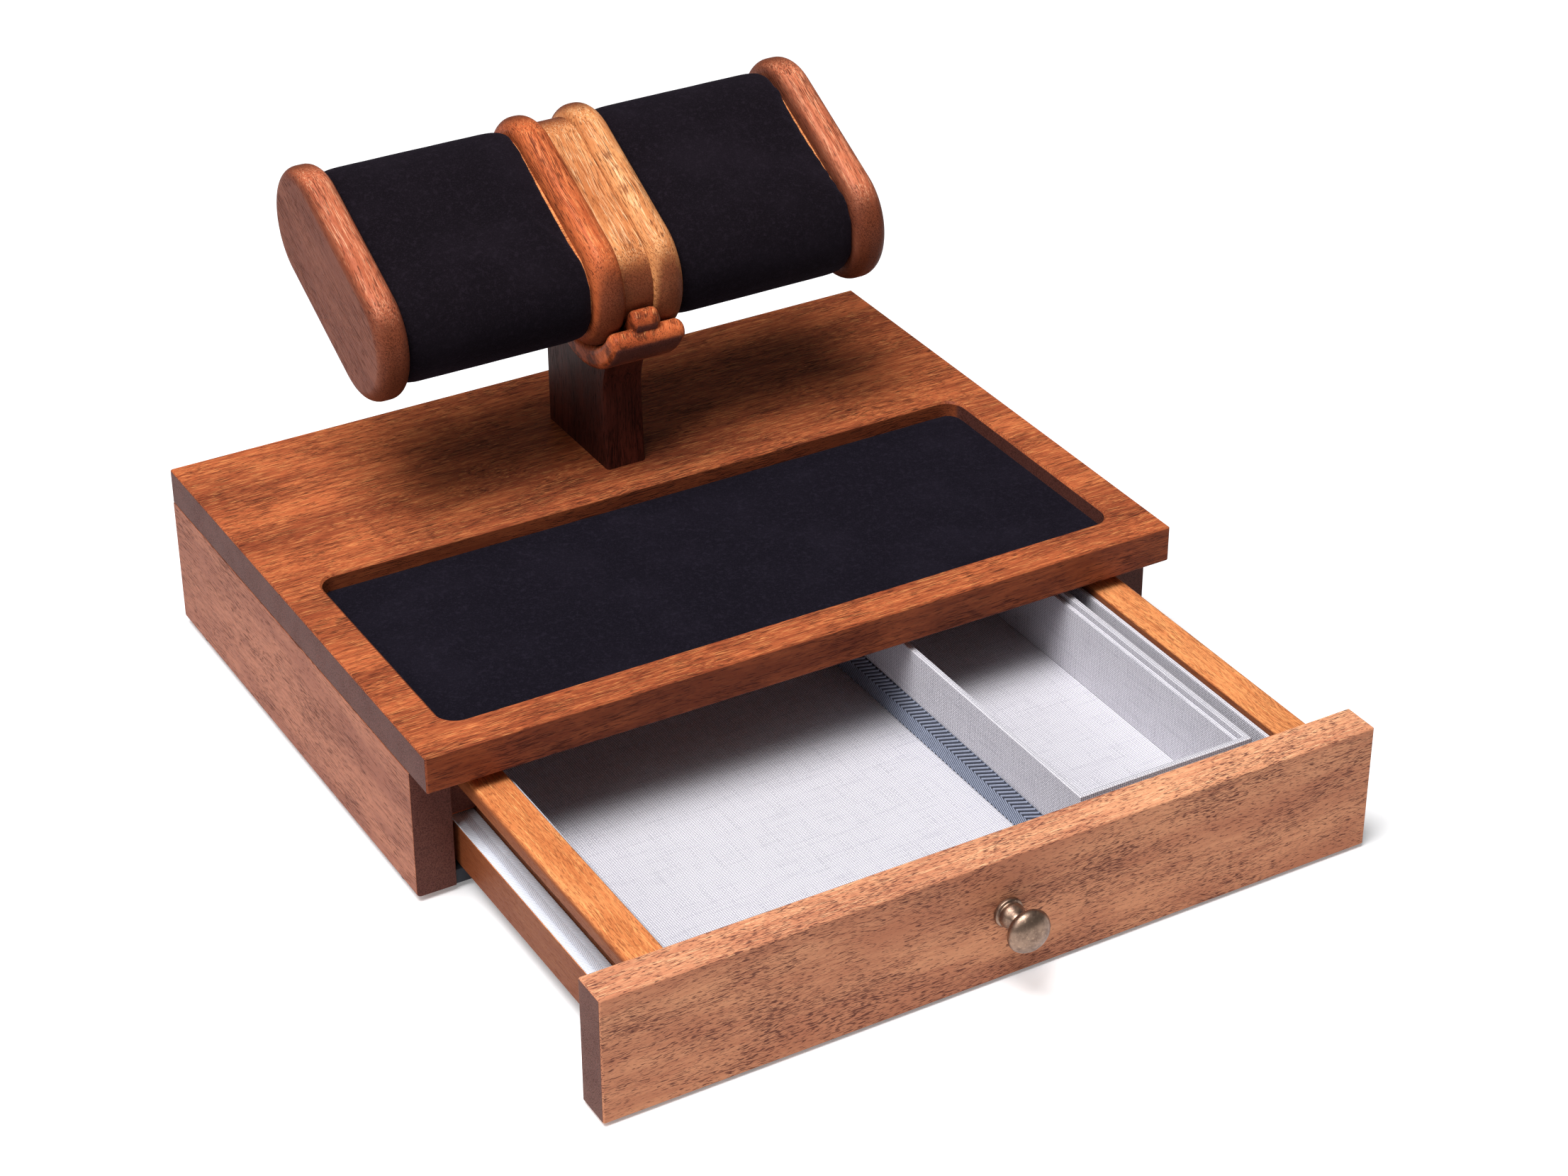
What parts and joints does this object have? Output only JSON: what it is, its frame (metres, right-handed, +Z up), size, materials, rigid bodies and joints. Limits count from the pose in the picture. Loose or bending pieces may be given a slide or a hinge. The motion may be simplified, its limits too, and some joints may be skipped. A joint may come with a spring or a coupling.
{
  "type": "mens valet box with drawer",
  "caption": "Low wooden valet box with a linen-lined drawer, a loose tray, a suede recess in its top and a padded watch roll held in a cradle on a post.",
  "frame": {"origin": "on the table, under the middle of the top board", "axes": "+X to the right seen from the front, +Y to the back, +Z up; the drawer opens along -Y"},
  "size_m": [0.26, 0.3167, 0.167],
  "materials": {
    "wood": "oiled satin",
    "dark_board": "stained matt",
    "hidden_wood": "bare",
    "steel": "satin",
    "antique_brass": "aged",
    "suede": "napped",
    "linen": "woven matt",
    "tape": "herringbone",
    "felt": "matt"
  },
  "bodies": {
    "case": {"top_board": "wood", "recess_lining": "suede", "side_panel_left": "wood", "side_panel_right": "wood", "back_panel": "wood", "base_panel": "dark_board", "case_tenons": "hidden_wood", "runner_left": "wood", "runner_right": "wood", "feet": "felt", "post": "wood", "post_screws": "steel", "cradle": "wood", "cradle_tenon": "hidden_wood"},
    "drawer": {"drawer_front": "wood", "drawer_side_left": "wood", "drawer_side_right": "wood", "drawer_back": "wood", "drawer_bottom": "dark_board", "drawer_tenons": "hidden_wood", "glide_tape_left": "tape", "glide_tape_right": "tape", "floor_lining": "linen", "wall_lining_left": "linen", "wall_lining_right": "linen", "wall_lining_front": "linen", "wall_lining_back": "linen", "knob": "antique_brass", "knob_screw": "steel"},
    "tray": {"tray_shell": "linen", "tray_wall_lining": "linen", "tray_floor_pad": "linen", "tray_tape_left": "tape", "tray_tape_right": "tape"},
    "watch_roll": {"hub_core": "wood", "flange_left": "wood", "flange_right": "wood", "pillow_core_left": "hidden_wood", "pillow_core_right": "hidden_wood", "pillow_cover_left": "suede", "pillow_cover_right": "suede", "end_cap_left": "wood", "end_cap_right": "wood"}
  },
  "joints": [
    {"name": "drawer_slide", "type": "slide", "parent": "case", "child": "drawer", "axis": [0, -1, 0], "range_m": [-0.1057, 0.035]},
    {"name": "tray_slide", "type": "slide", "parent": "drawer", "child": "tray", "axis": [1, 0, 0], "range_m": [-0.1348, 0.0052]},
    {"name": "roll_lift", "type": "slide", "parent": "case", "child": "watch_roll", "axis": [0, 0, 1], "range_m": [0, 0.06]}
  ]
}
